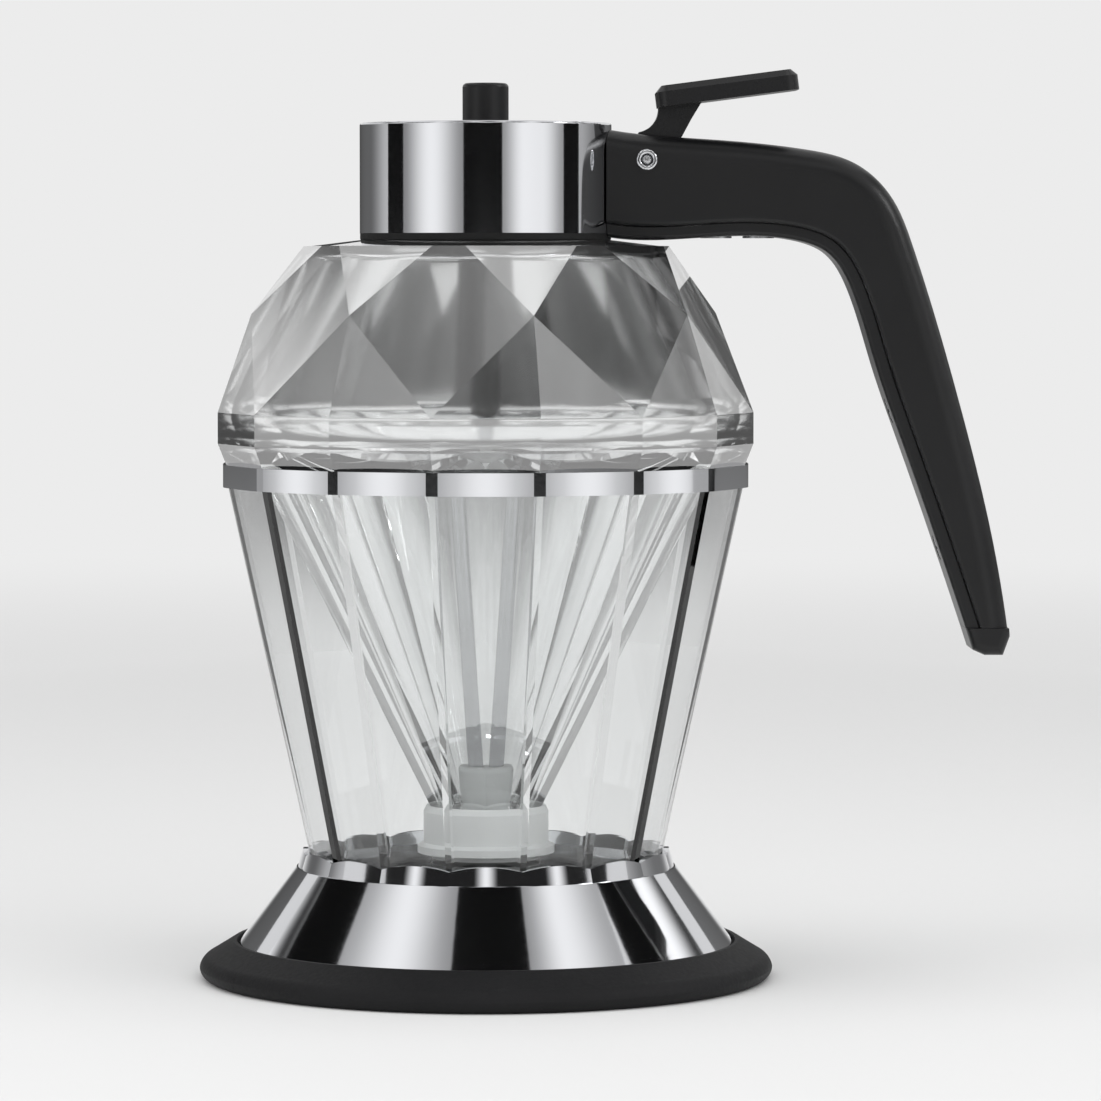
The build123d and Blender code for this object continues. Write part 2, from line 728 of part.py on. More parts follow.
# Lid body: threaded skirt, disc with the rod guide, chamber wall and the handle's lug
lid_r = collar_r - collar_wall - fit
lid_bore_r = neck_r + thread_depth + thread_gap
lid_top = collar_ceiling - fit
lug_z = collar_top - ledge_drop + fit
lid_thread_z = lid_z + thread_base / 2 + thread_lead
lid_thread_turn = 360 * (lid_thread_z + thread_pitch / 2 - (neck_z + neck_thread_rise)) / thread_pitch
lid_ridge = thread_ridge(lid_bore_r, lid_thread_z, lid_thread_turns, -1, lid_thread_turn)
with BuildPart() as lid_body:
    with BuildSketch(Plane.XZ):
        with BuildLine():
            Polyline(
                (lid_bore_r, lid_z),
                (lid_r, lid_z),
                (lid_r, lid_top),
                (chamber_r, lid_top),
                (chamber_r, disc_top),
                (sleeve_r + running, disc_top),
                (sleeve_r + running, disc_z - guide_drop),
                (guide_boss_r, disc_z - guide_drop),
                (guide_boss_r, disc_z),
                (lid_bore_r, disc_z),
                close=True,
            )
        make_face()
    revolve(axis=Axis.Z)
    add(lid_ridge)
    with BuildSketch(Plane.YZ.offset(lid_bore_r + lug_root)):
        with Locations((0, lug_z + lug_h / 2)):
            Rectangle(2 * lug_half, lug_h)
    extrude(amount=lug_length + collar_r - lid_bore_r - lug_root)
    with BuildSketch(Plane.YZ.offset(chamber_r - 2)):
        with Locations((0, (disc_top + lid_top) / 2 + 1)):
            Rectangle(2 * window_half, lid_top - disc_top + 2)
    extrude(amount=lid_r, mode=Mode.SUBTRACT)
    with BuildSketch(Plane.XY.offset(lug_z)):
        with Locations(*[(x, 0) for x in handle_screw_at]):
            Circle(screw_r + running)
    extrude(amount=lug_h, mode=Mode.SUBTRACT)
lid_body.part.label = "lid_body"
export_step(lid_body.part, "parts/lid_body.step")

# Lid seal: washer pressed on the neck's rim
with BuildPart() as lid_seal:
    with BuildSketch(Plane.XY.offset(neck_top)):
        Circle(neck_r - seal_inset)
        Circle(neck_r - seal_inset - seal_wall, mode=Mode.SUBTRACT)
    extrude(amount=seal_h)
lid_seal.part.label = "lid_seal"
export_step(lid_seal.part, "parts/lid_seal.step")

# Knob guide: flanged bush in the collar's top
with BuildPart() as knob_guide:
    with BuildSketch(Plane.XZ):
        with BuildLine():
            Polyline(
                (knob_r + running, collar_ceiling - bush_drop),
                (bush_flange_r, collar_ceiling - bush_drop),
                (bush_flange_r, collar_ceiling),
                (bush_r, collar_ceiling),
                (bush_r, collar_top),
                (knob_r + running, collar_top),
                close=True,
            )
        make_face()
    revolve(axis=Axis.Z)
knob_guide.part.label = "knob_guide"
export_step(knob_guide.part, "parts/knob_guide.step")

# Return spring: one wire wound as a helix between the washer and the collar's ceiling
spring_foot = knob_z + spring_wire_r + fit
spring_head = collar_ceiling - spring_wire_r - fit
with BuildPart() as return_spring:
    with BuildLine() as coil:
        Helix(
            (spring_head - spring_foot) / spring_turns,
            spring_head - spring_foot,
            spring_r,
            center=(0, 0, spring_foot),
        )
    with BuildSketch(Plane(origin=coil.line @ 0, z_dir=coil.line % 0)):
        Circle(spring_wire_r)
    sweep(path=coil.line, is_frenet=True)
return_spring.part.label = "return_spring"
export_step(return_spring.part, "parts/return_spring.step")

# Thumb lever: pad, stem, boss, arm and fork in one moulding
pad_angle = radians(pad_tilt)
pad_foot = (pivot_x + pad_setback, collar_top + pad_rise)


def on_pad(along, up):
    """Point of the pad's side view, counted from its lower inner corner."""
    return (
        pad_foot[0] + along * cos(pad_angle) - up * sin(pad_angle),
        pad_foot[1] + along * sin(pad_angle) + up * cos(pad_angle),
    )


tine_top = nib_z + tine_h / 4
tine_bottom = tine_top - tine_h
with BuildPart() as thumb_lever:
    with BuildSketch(Plane.XZ):
        with BuildLine():
            Polyline(
                on_pad(0, 0),
                on_pad(pad_length, 0),
                on_pad(pad_length, pad_h),
                on_pad(0, pad_h),
                close=True,
            )
        make_face()
    extrude(amount=pad_half, both=True)
    upright = [e for e in thumb_lever.edges() if abs(e.length - pad_h) < 0.01]
    fillet(upright, radius=pad_corner)
    pad_top = thumb_lever.faces().filter_by(GeomType.PLANE).filter_by(
        lambda f: f.normal_at().Z > 0.9
    )
    chamfer(pad_top[0].outer_wire().edges(), length=pad_edge)
    with BuildSketch(Plane.XZ):
        with BuildLine():
            left = ThreePointArc(
                on_pad(0.2, 0.4),
                (pivot_x + 0.9, collar_top - 0.4),
                (pivot_x - 1.2, collar_top - 1.5),
            )
            Polyline(
                left @ 1,
                (pivot_x - boss_r, pivot_z + 0.6),
                (pivot_x + boss_r, pivot_z - 0.4),
                (pivot_x + 5.9, collar_top - 2.2),
                (pivot_x + 7.4, collar_top + 0.6),
                on_pad(7.6, 0.4),
                on_pad(0.2, 0.4),
            )
        make_face()
        with BuildLine():
            Polyline(
                (pivot_x - 1.2, pivot_z + 2.1),
                (pivot_x * 0.56, pivot_z - 1.3),
                (pivot_x * 0.3, tine_top),
                (-nib_r - 1, tine_top),
                (-nib_r - 1, tine_bottom),
                (pivot_x * 0.3, tine_bottom),
                (pivot_x * 0.56, tine_bottom + 0.8),
                (pivot_x - 0.8, pivot_z - 2.3),
                close=True,
            )
        make_face()
        with Locations((pivot_x, pivot_z)):
            Circle(boss_r)
    extrude(amount=lever_half, both=True)
    with BuildSketch(Plane.XZ):
        with Locations(((pivot_x * 0.3 - nib_r - 1) / 2, (tine_top + tine_bottom) / 2)):
            Rectangle(pivot_x * 0.3 + nib_r + 1, tine_h)
        with Locations((0, nib_z)):
            Circle(nib_r)
    extrude(amount=fork_half, both=True)
    with BuildSketch(Plane.XY.offset(tine_bottom - 2)):
        with Locations((-2, 0)):
            SlotOverall(2 * (rod_r + 1.2) + 4, 2 * (rod_r + air))
        with Locations((-5, 0)):
            Rectangle(6, 2 * (rod_r + air))
    extrude(amount=2 * tine_h + 2, mode=Mode.SUBTRACT)
    with BuildSketch(Plane.XZ):
        with Locations((pivot_x, pivot_z)):
            Circle(pin_r + running)
    extrude(amount=lever_half * 2, both=True, mode=Mode.SUBTRACT)
thumb_lever.part.label = "thumb_lever"
export_step(thumb_lever.part, "parts/thumb_lever.step")


# Handle: every point is counted from the collar's side and its top
def on_handle(out, start, down):
    """Point of the handle's side view, as shares of its reach and fall below a starting height."""
    return (collar_r + out * handle_reach, collar_top - start - down * handle_fall)


outer_curve = Spline(
    on_handle(-0.015, handle_drop, -0.001),
    on_handle(0.244, handle_drop, 0.019),
    on_handle(0.488, handle_drop, 0.039),
    on_handle(0.607, handle_drop, 0.065),
    on_handle(0.702, handle_drop, 0.133),
    on_handle(0.754, handle_drop, 0.225),
    on_handle(0.877, handle_drop, 0.546),
    on_handle(0.955, handle_drop, 0.793),
    on_handle(1.0, handle_drop, 1.0),
)
ledge_curve = Spline(
    on_handle(-0.015, ledge_drop, 0.0),
    on_handle(0.229, ledge_drop, 0.0024),
    on_handle(0.45, ledge_drop, 0.006),
    on_handle(0.557, ledge_drop, 0.037),
    on_handle(0.635, ledge_drop, 0.133),
    on_handle(0.691, ledge_drop, 0.273),
    on_handle(0.754, ledge_drop, 0.415),
    on_handle(0.877, ledge_drop, 0.691),
    on_handle(0.937, ledge_drop, 0.833),
)


def beside(curve, distance, count=32):
    """Curve that runs at a distance to the left of another."""
    points = []
    for i in range(count + 1):
        here = curve @ (i / count)
        way = curve % (i / count)
        points.append((here.X - way.Y * distance, here.Y + way.X * distance))
    return Spline(*points)


def lies_on(edge, curve):
    """Does an edge of the handle follow a curve of its side view?"""
    here = edge @ 0.5
    there = curve @ 0.5
    return abs(here.X - there.X) + abs(here.Z - there.Y) < 0.5


def ledge_plane(share):
    """Plane on the ledge, square to it and facing into the channel."""
    here = ledge_curve @ share
    way = ledge_curve % share
    return Plane(origin=(here.X, 0, here.Y), x_dir=(0, 1, 0), z_dir=(-way.Y, 0, way.X))


shell_end_z = collar_top - shell_drop
cavity_curve = beside(outer_curve, -handle_wall)
inner_curve = beside(ledge_curve, -cover_h)
cover_back = beside(ledge_curve, -fit)
tenon_out = beside(outer_curve, -handle_wall - 2 * fit)
tenon_in = beside(ledge_curve, 2 * fit)
root_cut_r = collar_r + fit

# Handle shell: a channel with rounded outer edges, open on its inner side
with BuildPart() as handle_shell:
    with BuildSketch(Plane.XZ.offset(-handle_half)):
        with BuildLine():
            add(outer_curve)
            Line(outer_curve @ 1, ledge_curve @ 1)
            add(ledge_curve)
            Line(ledge_curve @ 0, outer_curve @ 0)
        make_face()
    extrude(amount=2 * handle_half)
    fillet([e for e in handle_shell.edges() if lies_on(e, outer_curve)], radius=handle_round)
    fillet([e for e in handle_shell.edges() if lies_on(e, ledge_curve)], radius=handle_side_round)
    with BuildSketch(Plane.XZ.offset(-cavity_half)):
        with BuildLine():
            low = cavity_curve @ 1
            middle = inner_curve @ 0.55
            add(cavity_curve)
            Polyline(
                low,
                (low.X - 2 * handle_half, low.Y - cover_h),
                (middle.X - handle_half, middle.Y),
                (2 * collar_r, neck_z - handle_half),
                (collar_r - cover_h, neck_z - handle_half),
                cavity_curve @ 0,
            )
        make_face()
    extrude(amount=2 * cavity_half, mode=Mode.SUBTRACT)
    with BuildSketch(Plane.XY.offset(disc_top)):
        with Locations((pivot_x - slot_front + slot_length / 2, 0)):
            Rectangle(slot_length, 2 * slot_half)
    extrude(amount=collar_h, mode=Mode.SUBTRACT)
    with BuildSketch(Plane.XY.offset(lug_z + lug_h)):
        with Locations(*[(x, 0) for x in handle_screw_at]):
            Circle(handle_boss_r)
    extrude(until=Until.NEXT)
    with BuildSketch(Plane.XY.offset(lug_z)):
        with Locations(*[(x, 0) for x in handle_screw_at]):
            Circle(screw_r)
    extrude(amount=handle_screw_reach, mode=Mode.SUBTRACT)
    for share in grip_screw_at:
        with BuildSketch(ledge_plane(share).offset(fit)):
            Circle(grip_head_r)
        extrude(until=Until.NEXT)
        with BuildSketch(ledge_plane(share)):
            Circle(grip_screw_r + fit)
        extrude(amount=grip_screw_reach, mode=Mode.SUBTRACT)
    with BuildSketch(Plane.XZ.offset(-2 * handle_half)):
        with Locations((pivot_x, pivot_z)):
            Circle(ferrule_r + fit)
    extrude(amount=4 * handle_half, mode=Mode.SUBTRACT)
    with BuildSketch(Plane.XY.offset(-1)):
        Circle(root_cut_r)
    extrude(amount=2 * collar_top, mode=Mode.SUBTRACT)
    split(bisect_by=Plane.XY.offset(shell_end_z), keep=Keep.TOP)
handle_shell.part.label = "handle_shell"
export_step(handle_shell.part, "parts/handle_shell.step")

# Inner cover: narrower strip that closes the channel, with recesses for the screw heads
cover_low = collar_top - ledge_drop - cover_sag - cover_h
with BuildPart() as handle_inner_cover:
    with BuildSketch(Plane.XZ.offset(-cover_half)):
        with BuildLine():
            add(cover_back)
            Line(cover_back @ 1, inner_curve @ 1)
            add(inner_curve)
            Line(inner_curve @ 0, cover_back @ 0)
        make_face()
    extrude(amount=2 * cover_half)
    fillet([e for e in handle_inner_cover.edges() if lies_on(e, inner_curve)], radius=cover_edge)
    with BuildSketch(Plane.XY.offset(cover_low - 2)):
        with Locations(*[(x, 0) for x in handle_screw_at]):
            Circle(pan_head_r + fit)
    extrude(amount=2 + pan_head_h, mode=Mode.SUBTRACT)
    with BuildSketch(Plane.XY.offset(cover_low)):
        with Locations(*[(x, 0) for x in handle_screw_at]):
            Circle(screw_r + running)
    extrude(amount=2 * cover_h, mode=Mode.SUBTRACT)
    for share in grip_screw_at:
        with BuildSketch(ledge_plane(share).offset(grip_head_h - cover_h)):
            Circle(grip_head_r + fit)
        extrude(amount=-cover_h, mode=Mode.SUBTRACT)
        with BuildSketch(ledge_plane(share).offset(-cover_h)):
            Circle(grip_screw_r + fit)
        extrude(amount=2 * cover_h, mode=Mode.SUBTRACT)
    with BuildSketch(Plane.XY.offset(-1)):
        Circle(root_cut_r)
    extrude(amount=2 * collar_top, mode=Mode.SUBTRACT)
    split(bisect_by=Plane.XY.offset(shell_end_z), keep=Keep.TOP)
handle_inner_cover.part.label = "handle_inner_cover"
export_step(handle_inner_cover.part, "parts/handle_inner_cover.step")

# Handle tip: rounded end with a tenon in the channel
tip_z = collar_top - tip_drop
tip_out = outer_curve @ 1
tip_in = inner_curve @ 1
with BuildPart() as handle_tip:
    with BuildSketch(Plane.XZ.offset(-handle_half)):
        with BuildLine():
            add(outer_curve)
            Polyline(
                tip_out,
                (tip_out.X - tip_taper[0], tip_z),
                (tip_in.X + tip_taper[1], tip_z),
                tip_in,
            )
            add(inner_curve)
            Line(inner_curve @ 0, outer_curve @ 0)
        make_face()
    extrude(amount=2 * handle_half)
    split(bisect_by=Plane.XY.offset(shell_end_z - fit), keep=Keep.BOTTOM)
    fillet(
        [e for e in handle_tip.edges() if e.center().Z < shell_end_z - 1 and abs(e.center().Y) > 1],
        radius=tip_round,
    )
    with BuildSketch(Plane.XZ.offset(fit - cavity_half)):
        with BuildLine():
            Polyline(
                tenon_out @ 1,
                tenon_out @ (1 - tenon_share),
                tenon_in @ (1 - tenon_share),
                tenon_in @ 1,
                close=True,
            )
        make_face()
    extrude(amount=2 * (cavity_half - fit))
handle_tip.part.label = "handle_tip"
export_step(handle_tip.part, "parts/handle_tip.step")

# Handle screws: pan heads sunk in the cover, shanks through the lug into the shell's bosses
with BuildPart() as handle_screws:
    with BuildSketch(Plane.XY.offset(cover_low + pan_head_h)):
        with Locations(*[(x, 0) for x in handle_screw_at]):
            Circle(pan_head_r)
    extrude(amount=-pan_head_h + under_head)
    with BuildSketch(Plane.XY.offset(cover_low + pan_head_h)):
        with Locations(*[(x, 0) for x in handle_screw_at]):
            Circle(screw_r)
    extrude(amount=lug_z + handle_screw_reach - screw_tip_gap - cover_low - pan_head_h)
    with BuildSketch(Plane.XY.offset(cover_low)):
        with Locations(*[(x, 0) for x in handle_screw_at]):
            Rectangle(pan_drive[0], pan_drive[1])
            Rectangle(pan_drive[1], pan_drive[0])
    extrude(amount=pan_drive[2], mode=Mode.SUBTRACT)
handle_screws.part.label = "handle_screws"
export_step(handle_screws.part, "parts/handle_screws.step")

# Grip screws: smaller ones square to the ledge
with BuildPart() as grip_screws:
    for share in grip_screw_at:
        head_plane = ledge_plane(share).offset(grip_head_h - cover_h)
        with BuildSketch(head_plane):
            Circle(grip_head_r)
        extrude(amount=-grip_head_h + under_head)
        with BuildSketch(head_plane):
            Circle(grip_screw_r)
        extrude(amount=cover_h - grip_head_h + grip_screw_reach - screw_tip_gap)
        with BuildSketch(head_plane.offset(-grip_head_h)):
            Rectangle(grip_drive[0], grip_drive[1])
            Rectangle(grip_drive[1], grip_drive[0])
        extrude(amount=grip_drive[2], mode=Mode.SUBTRACT)
grip_screws.part.label = "grip_screws"
export_step(grip_screws.part, "parts/grip_screws.step")

# Pivot pin across the handle's cheeks
pin_half = handle_half + ferrule_flange - fit
with BuildPart() as pivot_pin:
    with BuildSketch(Plane.XZ.offset(-pin_half)):
        with Locations((pivot_x, pivot_z)):
            Circle(pin_r)
    extrude(amount=2 * pin_half)
    fillet(pivot_pin.edges().filter_by(GeomType.CIRCLE), radius=pin_edge)
pivot_pin.part.label = "pivot_pin"
export_step(pivot_pin.part, "parts/pivot_pin.step")

# Pin ferrules: one flanged eyelet in each cheek
with BuildPart() as pin_ferrules:
    with BuildSketch(Plane.XZ.offset(handle_half)):
        with Locations((pivot_x, pivot_z)):
            Circle(ferrule_flange_r)
            Circle(pin_r + fit, mode=Mode.SUBTRACT)
    extrude(amount=ferrule_flange)
    fillet(pin_ferrules.faces().sort_by(Axis.Y)[0].edges(), radius=ferrule_edge)
    with BuildSketch(Plane.XZ.offset(handle_half)):
        with Locations((pivot_x, pivot_z)):
            Circle(ferrule_r)
            Circle(pin_r + fit, mode=Mode.SUBTRACT)
    extrude(amount=-(handle_half - cavity_half))
    mirror(about=Plane.XZ)
pin_ferrules.part.label = "pin_ferrules"
export_step(pin_ferrules.part, "parts/pin_ferrules.step")
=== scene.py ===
import math

import bpy
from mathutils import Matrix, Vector


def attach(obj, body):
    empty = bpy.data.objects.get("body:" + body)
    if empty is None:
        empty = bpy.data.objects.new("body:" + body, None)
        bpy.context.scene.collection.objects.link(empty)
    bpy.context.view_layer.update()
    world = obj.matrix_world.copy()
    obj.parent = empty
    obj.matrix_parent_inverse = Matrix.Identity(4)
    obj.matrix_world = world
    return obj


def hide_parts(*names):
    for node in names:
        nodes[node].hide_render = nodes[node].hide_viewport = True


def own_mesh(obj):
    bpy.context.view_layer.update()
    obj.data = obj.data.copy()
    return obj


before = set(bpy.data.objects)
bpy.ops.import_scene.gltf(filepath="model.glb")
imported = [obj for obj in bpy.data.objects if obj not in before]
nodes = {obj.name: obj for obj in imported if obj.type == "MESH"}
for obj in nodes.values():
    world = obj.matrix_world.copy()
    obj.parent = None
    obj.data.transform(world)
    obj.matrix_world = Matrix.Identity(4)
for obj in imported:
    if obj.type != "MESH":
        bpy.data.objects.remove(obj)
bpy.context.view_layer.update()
print("frame loaded,", len(nodes), "nodes")


# shared helpers
def linear(hexColor):
    out = []
    for i in (0, 2, 4):
        c = int(hexColor[i:i + 2], 16) / 255
        out.append(c / 12.92 if c <= 0.04045 else ((c + 0.055) / 1.055) ** 2.4)
    return (*out, 1.0)


def addNode(tree, kind, settings=None, links=None):
    # links name an input, or give its place where two inputs share a name
    node = tree.nodes.new(kind)
    for key, value in (settings or {}).items():
        if key in node.inputs:
            node.inputs[key].default_value = value
        else:
            setattr(node, key, value)
    for key, source in (links or {}).items():
        tree.links.new(source, node.inputs[key])
    return node


def startMaterial(name):
    material = bpy.data.materials.new(name)
    material.use_nodes = True
    material.node_tree.nodes.clear()
    return material, material.node_tree


def finishMaterial(material, tree, shader):
    addNode(tree, "ShaderNodeOutputMaterial", {}, {"Surface": shader.outputs[0]})
    return material


def objectSpace(tree, stretch=(1, 1, 1)):
    where = addNode(tree, "ShaderNodeTexCoord").outputs["Object"]
    return addNode(tree, "ShaderNodeMapping", {"Scale": stretch}, {"Vector": where}).outputs["Vector"]


def makeSheet(name, width, height, material):
    mesh = bpy.data.meshes.new(name)
    x, y = width / 2, height / 2
    mesh.from_pydata([(-x, -y, 0), (x, -y, 0), (x, y, 0), (-x, y, 0)], [], [(0, 1, 2, 3)])
    mesh.materials.append(material)
    return bpy.data.objects.new(name, mesh)


# materials: pattern scales are cells per metre, so 1000 / scale is the size in mm
glassLook = {
    "tint": "FBFCFC",
    "ior": 1.52,
    "waveScale": 60,  # pressing waves about 17 mm long
    "waveHeight": 0.00002,
    "waveStrength": 0.3,
    "hazeLow": 0.0,
    "hazeHigh": 0.012,
    "lustre": 0.0,
    "lustreIor": 1.5,
    "lustreRough": 0.01,
}
# the jar's facets carry a clear mirror lustre, as a thin metal oxide gives
facetLook = dict(glassLook, lustre=1.0, lustreIor=2.9)
# the plunger leaves the cavity's ceiling and sides less smooth, which softens what is seen through them
cavityLook = dict(glassLook, hazeLow=0.12, hazeHigh=0.2)


def makeGlass(name, look):
    # pressed soda-lime glass, fire-polished: clear, with faint long waves that bend what is seen through it
    material, tree = startMaterial(name)
    space = objectSpace(tree)
    wave = addNode(tree, "ShaderNodeTexNoise", {"Scale": look["waveScale"], "Detail": 1.0}, {"Vector": space})
    bump = addNode(
        tree,
        "ShaderNodeBump",
        {"Strength": look["waveStrength"], "Distance": look["waveHeight"]},
        {"Height": wave.outputs["Fac"]},
    )
    haze = addNode(
        tree,
        "ShaderNodeMapRange",
        {"To Min": look["hazeLow"], "To Max": look["hazeHigh"]},
        {"Value": wave.outputs["Fac"]},
    )
    solid = addNode(
        tree,
        "ShaderNodeBsdfPrincipled",
        {
            "Base Color": linear(look["tint"]),
            "IOR": look["ior"],
            "Transmission Weight": 1.0,
            "Coat IOR": look["lustreIor"],
            "Coat Roughness": look["lustreRough"],
        },
        {"Roughness": haze.outputs["Result"], "Normal": bump.outputs["Normal"]},
    )
    if look["lustre"]:
        # the lustre mirrors the room on the outside alone
        within = addNode(tree, "ShaderNodeNewGeometry").outputs["Backfacing"]
        coat = addNode(
            tree,
            "ShaderNodeMapRange",
            {"To Min": look["lustre"], "To Max": 0.0},
            {"Value": within},
        )
        tree.links.new(coat.outputs["Result"], solid.inputs["Coat Weight"])
    # lamps reach what stands inside, as they do through clear glass
    clear = addNode(tree, "ShaderNodeBsdfTransparent", {"Color": linear(look["tint"])})
    path = addNode(tree, "ShaderNodeLightPath")
    shader = addNode(
        tree,
        "ShaderNodeMixShader",
        {},
        {"Fac": path.outputs["Is Shadow Ray"], 1: solid.outputs[0], 2: clear.outputs[0]},
    )
    return finishMaterial(material, tree, shader)


# chrome plate on pressed steel, buffed: a mirror with a faint cloud of buffing marks
chromeLook = {
    "metal": "DCDDE0",
    "roughLow": 0.03,
    "roughHigh": 0.09,
    "scale": 900,  # buffing marks about 1 mm apart, drawn coarser than real ones
    "detail": 3.0,
    "stretch": (1, 1, 6),
}
# drawn stainless steel: a softer mirror with fine rings from turning and polishing
steelLook = {
    "metal": "B9BABC",
    "roughLow": 0.16,
    "roughHigh": 0.3,
    "scale": 700,  # turning rings about 1.4 mm apart, coarser than real ones so that they show
    "detail": 2.0,
    "stretch": (0.15, 0.15, 4),
}


def makeMetal(name, look):
    # the marks of buffing or turning blur the mirror here and there
    material, tree = startMaterial(name)
    marks = addNode(
        tree,
        "ShaderNodeTexNoise",
        {"Scale": look["scale"], "Detail": look["detail"]},
        {"Vector": objectSpace(tree, look["stretch"])},
    )
    rough = addNode(
        tree,
        "ShaderNodeMapRange",
        {"To Min": look["roughLow"], "To Max": look["roughHigh"]},
        {"Value": marks.outputs["Fac"]},
    )
    shader = addNode(
        tree,
        "ShaderNodeBsdfPrincipled",
        {"Base Color": linear(look["metal"]), "Metallic": 1.0},
        {"Roughness": rough.outputs["Result"]},
    )
    return finishMaterial(material, tree, shader)


# grain scales stand for 0.4 to 0.8 mm, coarser than a mould's own grain so that it shows
# nylon from a spark-eroded mould: deep black with a broad, soft sheen
handleLook = {
    "dark": "080809", "light": "101011", "ior": 1.5, "gloss": 0.4,
    "grainScale": 2500, "grainDepth": 0.00004, "bump": 0.15,
    "roughLow": 0.3, "roughHigh": 0.4, "clearness": 0.0,
}
# ABS from a smoother mould: black with a tighter sheen
leverLook = {
    "dark": "0B0B0C", "light": "141415", "ior": 1.5, "gloss": 0.4,
    "grainScale": 2500, "grainDepth": 0.00003, "bump": 0.1,
    "roughLow": 0.24, "roughHigh": 0.34, "clearness": 0.0,
}
# thermoplastic rubber with a coarse grain: dull black, so the foot hardly shines
footLook = {
    "dark": "0E0E0F", "light": "1B1B1C", "ior": 1.5, "gloss": 0.2,
    "grainScale": 1400, "grainDepth": 0.0001, "bump": 0.35,
    "roughLow": 0.5, "roughHigh": 0.68, "clearness": 0.0,
}
# silicone rubber of the seals: matt black
rubberLook = {
    "dark": "101010", "light": "1A1A1A", "ior": 1.5, "gloss": 0.3,
    "grainScale": 1800, "grainDepth": 0.00005, "bump": 0.2,
    "roughLow": 0.55, "roughHigh": 0.75, "clearness": 0.0,
}
# silicone rubber without pigment: milky, lets some light through, with a soft gloss
siliconeLook = {
    "dark": "DEE0E0", "light": "ECEDEC", "ior": 1.41, "gloss": 0.5,
    "grainScale": 1200, "grainDepth": 0.00003, "bump": 0.15,
    "roughLow": 0.28, "roughHigh": 0.42, "clearness": 0.12,
}
grainsPerCloud = 40  # the shade drifts over this many grains, 16 to 33 mm


def makeMoulded(name, look):
    # the mould's grain breaks the gloss, and the shade drifts a little as the melt does
    material, tree = startMaterial(name)
    space = objectSpace(tree)
    grain = addNode(
        tree,
        "ShaderNodeTexNoise",
        {"Scale": look["grainScale"], "Detail": 2.0, "Roughness": 0.6},
        {"Vector": space},
    )
    cloud = addNode(
        tree,
        "ShaderNodeTexNoise",
        {"Scale": look["grainScale"] / grainsPerCloud, "Detail": 2.0},
        {"Vector": space},
    )
    color = addNode(tree, "ShaderNodeMix", {"data_type": "RGBA"}, {"Factor": cloud.outputs["Fac"]})
    for socket in color.inputs:
        if socket.type == "RGBA":
            socket.default_value = linear(look["dark"] if socket.name == "A" else look["light"])
    bump = addNode(
        tree,
        "ShaderNodeBump",
        {"Strength": look["bump"], "Distance": look["grainDepth"]},
        {"Height": grain.outputs["Fac"]},
    )
    rough = addNode(
        tree,
        "ShaderNodeMapRange",
        {"To Min": look["roughLow"], "To Max": look["roughHigh"]},
        {"Value": grain.outputs["Fac"]},
    )
    shader = addNode(
        tree,
        "ShaderNodeBsdfPrincipled",
        {"IOR": look["ior"], "Specular IOR Level": look["gloss"], "Transmission Weight": look["clearness"]},
        {
            "Base Color": [socket for socket in color.outputs if socket.type == "RGBA"][0],
            "Roughness": rough.outputs["Result"],
            "Normal": bump.outputs["Normal"],
        },
    )
    return finishMaterial(material, tree, shader)


jarGlass = makeGlass("pressed soda-lime glass, jar", glassLook)
facetGlass = makeGlass("pressed soda-lime glass with a clear lustre, facets", facetLook)
cavityGlass = makeGlass("pressed soda-lime glass, plunger side", cavityLook)
cupGlass = makeGlass("pressed soda-lime glass, cup", glassLook)
chromePlate = makeMetal("chrome plate on pressed steel, buffed", chromeLook)
handleNylon = makeMoulded("black nylon, moulded satin", handleLook)
leverAbs = makeMoulded("black ABS, moulded semi-gloss", leverLook)
footRubber = makeMoulded("black thermoplastic rubber, moulded", footLook)
sealRubber = makeMoulded("black silicone rubber, moulded", rubberLook)
milkySilicone = makeMoulded("milky silicone rubber, moulded", siliconeLook)
turnedSteel = makeMetal("stainless steel, turned", steelLook)

# which nodes wear which finish
wears = {
    chromePlate: ["base_skirt", "scalloped_ring", "rim_band", "collar_shell", "pin_ferrules"],
    cupGlass: ["stand_cup"],
    jarGlass: ["jar_glass"],
    handleNylon: [
        "lid_body", "knob_guide", "handle_shell", "handle_inner_cover", "handle_tip", "top_knob", "base_core",
    ],
    leverAbs: ["thumb_lever", "stem_sleeve"],
    footRubber: ["foot_pad"],
    sealRubber: ["neck_gasket", "lid_seal"],
    milkySilicone: ["outlet_nozzle", "stopper_plug"],
    turnedSteel: [
        "base_screws", "handle_screws", "grip_screws", "pivot_pin",
        "return_spring", "pull_rod", "lift_collar",
    ],
}
for material, names in wears.items():
    for name in names:
        for slot in nodes[name].material_slots:
            slot.material = material
print("materials on", sum(len(names) for names in wears.values()), "nodes")


# the lustre lies on the jar's outside, and the haze in its dome
domeFoot = 0.089  # metres above the table
jarMesh = nodes["jar_glass"].data
facetSlot = len(jarMesh.materials)
jarMesh.materials.append(facetGlass)
cavitySlot = len(jarMesh.materials)
jarMesh.materials.append(cavityGlass)
for polygon in jarMesh.polygons:
    middle, normal = polygon.center, polygon.normal
    if middle.x * normal.x + middle.y * normal.y > 0:
        polygon.material_index = facetSlot
    elif middle.z > domeFoot:
        polygon.material_index = cavitySlot
print("jar has", len(jarMesh.materials), "finishes")


# a copy of the return spring, with a mesh of its own, rides with the head in place of the original
coil = nodes["return_spring"]
spring = bpy.data.objects.new("coil_spring", coil.data.copy())
spring.matrix_world = coil.matrix_world
bpy.context.collection.objects.link(spring)
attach(spring, "head")
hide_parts("return_spring")
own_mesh(spring)


